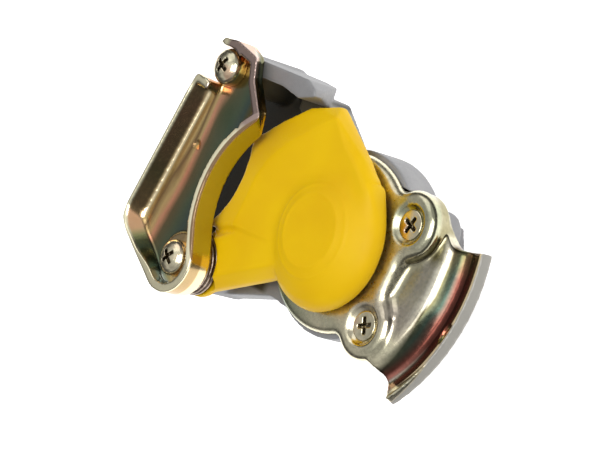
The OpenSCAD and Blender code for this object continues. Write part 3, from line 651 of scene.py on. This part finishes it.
def threadRidge(look):
    verts = []
    faces = []
    turns = (look["to"] - look["from"]) / look["pitch"]
    count = int(turns * look["steps"])
    half = look["flank"] * look["pitch"]
    wall = look["radius"]
    for i in range(count + 1):
        a = 2 * math.pi * i / look["steps"]
        z = look["from"] + look["pitch"] * i / look["steps"]
        tip = wall - look["depth"] * min(1.0, i / look["fadeSteps"], (count - i) / look["fadeSteps"])
        corners = ((wall, -half), (tip, -look["crest"]), (tip, look["crest"]), (wall, half), (wall + look["root"], 0))
        for r, dz in corners:
            verts.append((r * math.cos(a) * mm, r * math.sin(a) * mm, (z + dz) * mm))
    size = len(corners)
    for i in range(count):
        for k in range(size):
            j = (k + 1) % size
            faces.append((size * i + k, size * i + j, size * (i + 1) + j, size * (i + 1) + k))
    faces.append(tuple(range(size - 1, -1, -1)))
    faces.append(tuple(size * count + k for k in range(size)))
    return verts, faces


thread = newPiece("portThread", *threadRidge(portThread), "base", "housing_cast")
shadeSmooth(thread, portThread["sharpAbove"])
putOn(thread, finish["cast"])
print("port thread: done")

# pressed flange plate, with the half-round dent inside its rim; the plug closes a pinhole in the step
flangePressing = {
    "voxel": 0.34 * mm, "rounds": 6, "plug": ((22.3, -1.0, 31.5), (24.9, 3.2, 33.6)),
    "evenRounds": 14, "evenReach": (42.0, 38.0),
    "softSpots": (((27.8, 2.2), 5.5), ((26.4, -3.4), 4.5), ((26.2, -8.9), 4.0)), "softRounds": 60,
    "rim": 47.0, "dent": (45.2, -9.6), "dentRadius": 3.2, "dentDepth": 0.9, "dentCore": 0.75,
    "dentHeights": (27.5, 29.0), "dentInset": (0.5, 1.3)}


def flangeEvenness(points):
    return ease(numpy.hypot(points[:, 0], points[:, 1]), *flangePressing["evenReach"])


def flangeSoftness(points):
    return spotShare(points, flangePressing["softSpots"])


def shapeFlange(points, facing):
    look = flangePressing
    reach = numpy.hypot(points[:, 0], points[:, 1])
    start, end = look["dentInset"]
    upper = ease(points[:, 2], *look["dentHeights"]) * ease(reach, look["rim"] - start, look["rim"] - end)
    dent = ease(awayFrom(points, look["dent"]), look["dentRadius"], look["dentCore"] * look["dentRadius"])
    points[:, 2] -= look["dentDepth"] * dent * upper
    return points


flangePlate = softCopy("flange_plate", "flangePressing", flangePressing["voxel"], flangePressing["rounds"],
                       [flangePressing["plug"]])
relax(flangePlate, flangePressing["evenRounds"], flangeEvenness)
relax(flangePlate, flangePressing["softRounds"], flangeSoftness)
sculpt(flangePlate, shapeFlange)
putOn(flangePlate, finish["flange"])
settle(flangePlate, "base", ["flange_plate"])
print("flange plate:", len(flangePlate.data.polygons), "faces")

# pressed claw plate: its left and lower walls lean outward to thin rims, a round seat lies under the lower screw;
# leftWall and lowWall hold each wall's inward direction and its distance from the seal axis
clawPressing = {
    "voxel": 0.36 * mm, "rounds": 5, "floor": 45.1, "height": 7.2,
    "leftWall": (0.976, -0.218, 63.6), "lean": 2.8, "leanReach": (9.5, 2.4), "leftFrom": (1.5, 5.0),
    "lowWall": (0.5, 0.866, 50.76), "lowLean": 2.6, "lowLeanReach": (7.0, 2.4), "lowFrom": (0.0, 5.0),
    "lowRimFrom": (1.5, 5.0), "lowEnds": (-48.5, -58.0),
    "thinning": 1.6, "rimWidth": 2.5, "rimReach": (3.6, 2.8),
    "seat": (-43.3, -22.0), "seatRadius": 8.0, "seatRise": 0.8, "seatBlend": 0.9,
    "footArc": (-115, 15), "footSteps": 12, "footFill": 0.9, "footReach": (6.0, 7.0),
    "floorHeights": (46.6, 47.4), "wallHeights": (49.2, 48.6),
    "dimple": (-54.0, 8.0), "dimpleRadius": 2.2, "dimpleDepth": 0.9, "dimpleCore": 0.3, "dimpleTilt": 0.4,
    "softSpots": (((-57.0, 26.5), 6.5), ((-66.5, -17.5), 5.0), ((-38.6, 17.0), 4.0)), "softRounds": 16}


def shapeClaw(points, facing):
    look = clawPressing
    still = points.copy()
    x, y = still[:, 0], still[:, 1]
    level = numpy.clip((points[:, 2] - look["floor"]) / look["height"], 0, 1)
    leftX, leftY, leftAt = look["leftWall"]
    lowX, lowY, lowAt = look["lowWall"]
    inward = leftX * x + leftY * y + leftAt
    upward = lowX * x + lowY * y + lowAt
    push = look["lean"] * (1 - level) * ease(inward, *look["leanReach"])
    push -= (look["thinning"] * numpy.clip(inward / look["rimWidth"], 0, 1) * level * ease(inward, *look["rimReach"])
             * ease(upward, *look["leftFrom"]))
    lift = look["lowLean"] * (1 - level) * ease(upward, *look["lowLeanReach"]) * ease(inward, *look["lowFrom"])
    lift -= (look["thinning"] * numpy.clip(upward / look["rimWidth"], 0, 1) * level * ease(upward, *look["rimReach"])
             * ease(inward, *look["lowRimFrom"]))
    lift *= ease(x, *look["lowEnds"])
    points[:, 0] += leftX * push + lowX * lift
    points[:, 1] += lowY * lift + leftY * push
    # the foot's short flats are rounded out, inside the solids' box
    start, stop = look["footArc"]
    step = (stop - start) / look["footSteps"]
    fx, fy = points[:, 0] - look["seat"][0], points[:, 1] - look["seat"][1]
    heading = (numpy.degrees(numpy.arctan2(fy, fx)) - start) % 360
    phase = numpy.radians(heading % step - step / 2)
    bulge = look["footFill"] * (numpy.cos(phase) / math.cos(math.radians(step / 2)) - 1)
    bulge = bulge * (heading < stop - start) * ease(numpy.hypot(fx, fy), *look["footReach"])
    points[:, 0] += bulge * fx
    points[:, 1] = numpy.maximum(points[:, 1] + bulge * fy, cadBounds[0][1] / mm)
    # seat and dimple in the floor
    onFloor = ease(points[:, 2], *look["floorHeights"]) * ease(points[:, 2], *look["wallHeights"])
    away = awayFrom(still, look["seat"])
    points[:, 2] += look["seatRise"] * onFloor * ease(away, look["seatRadius"], look["seatRadius"] - look["seatBlend"])
    radius = look["dimpleRadius"]
    dent = ease(awayFrom(still, look["dimple"]), radius, look["dimpleCore"] * radius)
    tilt = numpy.clip(look["dimpleTilt"] + (y - look["dimple"][1]) / radius, 0, 1)
    points[:, 2] -= look["dimpleDepth"] * onFloor * dent * tilt
    return points


def clawSoftness(points):
    return spotShare(points, clawPressing["softSpots"])


clawPlate = softCopy("claw_plate", "clawPressing", clawPressing["voxel"], clawPressing["rounds"])
sculpt(clawPlate, shapeClaw)
relax(clawPlate, clawPressing["softRounds"], clawSoftness)
putOn(clawPlate, finish["claw"])
settle(clawPlate, "base", ["claw_plate"])
print("claw plate:", len(clawPlate.data.polygons), "faces")

# moulded cap: round dome with two faint rings, its flank runs straight into the wing's edge
capMoulding = {
    "voxel": 0.5 * mm, "rounds": 5, "middle": (0.0, 0.9), "radius": 20.4, "top": 46.3,
    "tangent": 31.2, "corner": 55.0, "cornerFade": 1.0, "flankFrom": 14.0, "flankPast": (1.5, 0.3),
    "wingTop": 44.0, "wingEdge": 41.0, "edgeEnds": ((-6.9, 31.1), (12.8, 19.2)), "crestWidth": 3.2, "crestPower": 2.4,
    "wingFacing": (0.05, 0.3), "edgePast": (9.0, -1.0), "edgeStart": (-0.5, 2.5), "edgeInset": (8.0, 6.0),
    "overSkirt": (39.5, 40.5),
    "lobe": (-41.8, -12.4), "lobeSwell": 0.9, "lobeReach": (4.0, 0.5), "lobeHeights": (38.0, 40.0),
    "lobePush": (-0.8, 0.6),
    "softRounds": 22, "softFrom": (-80, -62), "softTo": (76, 63), "softMiddle": (18.0, 15.5),
    "rings": (9.9, 12.6), "ringRise": 0.16, "ringWidth": (0.75, 0.1), "ringFacing": (0.3, 0.6), "ringDepth": (4.5, 3.0)}


def fromDome(points):
    # place, distance and direction in degrees from the dome's middle
    x, y = points[:, 0] - capMoulding["middle"][0], points[:, 1] - capMoulding["middle"][1]
    return x, y, numpy.hypot(x, y), numpy.degrees(numpy.arctan2(y, x))


def shapeCap(points, facing):
    look = capMoulding
    x, y, away, heading = fromDome(points)
    # the dome's flank is filled out to the straight line from the wing's corner
    turn = numpy.clip(heading - look["tangent"], 0, look["corner"] - look["tangent"])
    fill = look["radius"] * (1 / numpy.cos(numpy.radians(turn)) - 1)
    fill = fill * ease(heading, look["corner"] + look["cornerFade"], look["corner"])
    outside, inside = look["flankPast"]
    fill *= (ease(away, look["flankFrom"], look["radius"])
             * ease(away, look["radius"] + outside, look["radius"] + inside))
    points[:, 0] += fill * x / numpy.maximum(away, tiny)
    points[:, 1] += fill * y / numpy.maximum(away, tiny)
    # the wing stays high until close to its free edge
    (ax, ay), (bx, by) = look["edgeEnds"]
    length = math.hypot(bx - ax, by - ay)
    ux, uy = (bx - ax) / length, (by - ay) / length
    along = (points[:, 0] - ax) * ux + (points[:, 1] - ay) * uy
    inset = (points[:, 0] - ax) * uy - (points[:, 1] - ay) * ux
    slope = 1 - (1 - numpy.clip(inset / look["crestWidth"], 0, 1)) ** look["crestPower"]
    crest = look["wingEdge"] + (look["wingTop"] - look["wingEdge"]) * slope
    past, before = look["edgePast"]
    share = (ease(facing[:, 2], *look["wingFacing"]) * ease(along, length + past, length + before)
             * ease(along, *look["edgeStart"]) * ease(inset, *look["edgeInset"])
             * ease(points[:, 2], *look["overSkirt"]))
    points[:, 2] += share * numpy.maximum(crest - points[:, 2], 0)
    # the bite's lower end reaches up to the claw's wall
    swell = look["lobeSwell"] * ease(awayFrom(points, look["lobe"]), *look["lobeReach"])
    swell = swell * ease(points[:, 2], *look["lobeHeights"])
    points[:, 0] += look["lobePush"][0] * swell
    points[:, 1] += look["lobePush"][1] * swell
    return points


def capSoftness(points):
    x, y, away, heading = fromDome(points)
    free = ease(heading, *capMoulding["softFrom"]) * ease(heading, *capMoulding["softTo"])
    return numpy.maximum(ease(away, *capMoulding["softMiddle"]), free)


def addRings(points, facing):
    # two faint rings on the dome
    look = capMoulding
    away = awayFrom(points, look["middle"])
    low, high = look["ringDepth"]
    upper = ease(facing[:, 2], *look["ringFacing"]) * ease(points[:, 2], look["top"] - low, look["top"] - high)
    for radius in look["rings"]:
        points[:, 2] += look["ringRise"] * upper * ease(numpy.abs(away - radius), *look["ringWidth"])
    return points


cap = softCopy("cap", "capMoulding", capMoulding["voxel"], capMoulding["rounds"])
sculpt(cap, shapeCap)
relax(cap, capMoulding["softRounds"], capSoftness)
sculpt(cap, addRings)
putOn(cap, finish["cap"])
settle(cap, "cap", ["cap"])
print("cap:", len(cap.data.polygons), "faces")

# torsion spring of the cap, with its straight leg and the pin bent down into the hub
torsionSpring = {
    "middle": (-43.3, -22.0), "radius": 8.2, "wire": 1.3, "low": 39.65, "high": 45.05, "turns": 3, "steps": 64,
    "startStep": 3, "pinTo": 38.15, "pinUnder": 0.1, "leg": 13.5, "legSteps": 8, "sides": 14, "sharpAbove": 50}


def springPath(look):
    half = look["wire"] / 2
    rise = look["high"] - look["low"] - look["wire"]
    count = look["turns"] * look["steps"]
    cx, cy = look["middle"]
    path = [(cx, cy + look["radius"], look["pinTo"]), (cx, cy + look["radius"], look["low"] - look["pinUnder"])]
    for i in range(look["startStep"], count + 1):
        a = math.radians(90 + 360 * i / look["steps"])
        z = look["low"] + half + rise * i / count
        path.append((cx + look["radius"] * math.cos(a), cy + look["radius"] * math.sin(a), z))
    for k in range(1, look["legSteps"] + 1):
        path.append((cx - look["leg"] * k / look["legSteps"], cy + look["radius"], look["high"] - half))
    return [tuple(v * mm for v in point) for point in path]


torsionTube = tube(springPath(torsionSpring), torsionSpring["wire"] / 2 * mm, torsionSpring["sides"])
torsion = newPiece("torsionSpring", *torsionTube, "base", "spring_steel", ["cap_spring"])
shadeSmooth(torsion, torsionSpring["sharpAbove"])
putOn(torsion, finish["spring"])
print("torsion spring: done")

# screws, their crowns and cross recesses softened as a header leaves them; side is the crown's height
screws = {
    "flangeScrewUpper": {"node": "flange_screw_upper", "at": (22.99, 12.22), "top": 35.0, "side": 1.0},
    "flangeScrewLower": {"node": "flange_screw_lower", "at": (20.12, -16.52), "top": 35.0, "side": 1.0},
    "clawScrewUpper": {"node": "claw_screw_upper", "at": (-49.6, 32.0), "top": 52.6, "side": 2.6},
    "clawScrewLower": {"node": "claw_screw_lower", "at": (-43.3, -22.0), "top": 52.6, "side": 2.6},
}
screwSkin = {"voxel": 0.17 * mm, "rounds": 3}

for name, look in screws.items():
    screw = softCopy(look["node"], name, screwSkin["voxel"], screwSkin["rounds"])
    putOn(screw, screwSteel(name + "Steel", look["at"], look["top"], look["side"]))
    settle(screw, "base", [look["node"]])
    print(name + ":", len(screw.data.polygons), "faces")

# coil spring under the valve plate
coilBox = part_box("valve_spring")
valveCoil = {
    "wire": 1.2, "low": coilBox[0][2] / mm, "high": coilBox[1][2] / mm, "outer": coilBox[1][0] / mm,
    "turns": 2.5, "steps": 48, "sides": 12, "travel": 4.25, "sharpAbove": 50}


def coilPath(look):
    count = int(look["turns"] * look["steps"])
    radius = look["outer"] - look["wire"] / 2
    rise = look["high"] - look["low"] - look["wire"]
    path = []
    for i in range(count + 1):
        a = 2 * math.pi * i / look["steps"]
        z = look["low"] + look["wire"] / 2 + rise * i / count
        path.append((radius * math.cos(a) * mm, radius * math.sin(a) * mm, z * mm))
    return path


valveSpring = newPiece("valveSpring", *tube(coilPath(valveCoil), valveCoil["wire"] / 2 * mm, valveCoil["sides"]),
                       "base", "spring_steel", ["valve_spring"])
shadeSmooth(valveSpring, valveCoil["sharpAbove"])
putOn(valveSpring, finish["spring"])
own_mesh(valveSpring)
print("valve spring: done")

# small parts that keep their solids
plainParts = {
    "pivot_sleeve": "dark", "pivot_washer": "dark", "seal_ring": "rubber", "valve_plate": "valve",
    "valve_guide": "valve", "guide_circlip": "dark",
}
for nodeName, skin in plainParts.items():
    for holder in nodes[nodeName].material_slots:
        holder.material = finish[skin]
print("plain parts:", len(plainParts))

# floor, lights and camera; a light is its place, its size and its power
studio = {
    "floor": (0.92, 0.92, 0.92), "floorRoughness": 0.9, "floorGlow": 0.8, "floorSize": 8.0, "floorAt": -0.0008,
    "skyStrength": 1.0,
    "skyBands": [(0.0, (0.20, 0.20, 0.205)), (0.22, (0.06, 0.06, 0.06)), (0.46, (0.12, 0.12, 0.122)),
                 (0.64, (0.50, 0.505, 0.51)), (0.78, (0.34, 0.345, 0.35)), (1.0, (0.75, 0.76, 0.77))],
    "lightsTo": (0, 0, 0.03),
    "lights": {"keyLight": ((0.46, 0.12, 0.80), (0.6, 0.45), 5.0),
               "fillLight": ((-0.4, 0.55, 0.8), (0.6, 0.6), 0.9),
               "topLight": ((0.1, 0.0, 1.1), (0.5, 0.3), 1.2)}}


def makeFloor():
    size, z = studio["floorSize"], studio["floorAt"]
    mesh = bpy.data.meshes.new("floor")
    mesh.from_pydata([(-size, -size, z), (size, -size, z), (size, size, z), (-size, size, z)], [], [(0, 1, 2, 3)])
    floor = bpy.data.objects.new("floor", mesh)
    bpy.context.scene.collection.objects.link(floor)
    material, tree, shader = newMaterial("floorPaper", studio["floor"], 0.0, studio["floorRoughness"])
    shader.inputs["Emission Color"].default_value = (1, 1, 1, 1)
    shader.inputs["Emission Strength"].default_value = studio["floorGlow"]
    putOn(floor, material)


def areaLight(name, at, size, power):
    data = bpy.data.lights.new(name, "AREA")
    data.shape = "RECTANGLE"
    data.size, data.size_y = size
    data.energy = power
    light = bpy.data.objects.new(name, data)
    light.location = at
    light.rotation_euler = (Vector(studio["lightsTo"]) - Vector(at)).to_track_quat("-Z", "Y").to_euler()
    bpy.context.scene.collection.objects.link(light)


def makeSky():
    world = bpy.data.worlds.new("studioSky")
    world.use_nodes = True
    back = world.node_tree.nodes["Background"]
    tree = world.node_tree
    coords = tree.nodes.new("ShaderNodeTexCoord")
    parts = tree.nodes.new("ShaderNodeSeparateXYZ")
    tree.links.new(coords.outputs["Generated"], parts.inputs["Vector"])
    tree.links.new(ramp(tree, parts.outputs["Z"], studio["skyBands"]), back.inputs["Color"])
    back.inputs["Strength"].default_value = studio["skyStrength"]
    bpy.context.scene.world = world


# the photograph's view, fitted to its outlines
lookFrom = {
    "place": (0.4477854, 0.0598438, 0.4565083), "lens": 140.7, "sensor": 36, "clip": (0.01, 50),
    "right": (0.60509163, 0.34816633, -0.71599185), "up": (-0.30161293, 0.93252452, 0.19856397),
    "back": (0.73681325, 0.09580301, 0.66927425)}


def makeCamera():
    data = bpy.data.cameras.new("camera")
    data.sensor_width = lookFrom["sensor"]
    data.lens = lookFrom["lens"]
    data.clip_start, data.clip_end = lookFrom["clip"]
    camera = bpy.data.objects.new("camera", data)
    turn = Matrix((lookFrom["right"], lookFrom["up"], lookFrom["back"])).transposed().to_4x4()
    camera.matrix_world = Matrix.Translation(lookFrom["place"]) @ turn
    bpy.context.scene.collection.objects.link(camera)
    bpy.context.scene.camera = camera


makeFloor()
for name, (at, size, power) in studio["lights"].items():
    areaLight(name, at, size, power)
makeSky()
makeCamera()
bpy.context.scene.view_settings.view_transform = "Standard"
print("studio made")
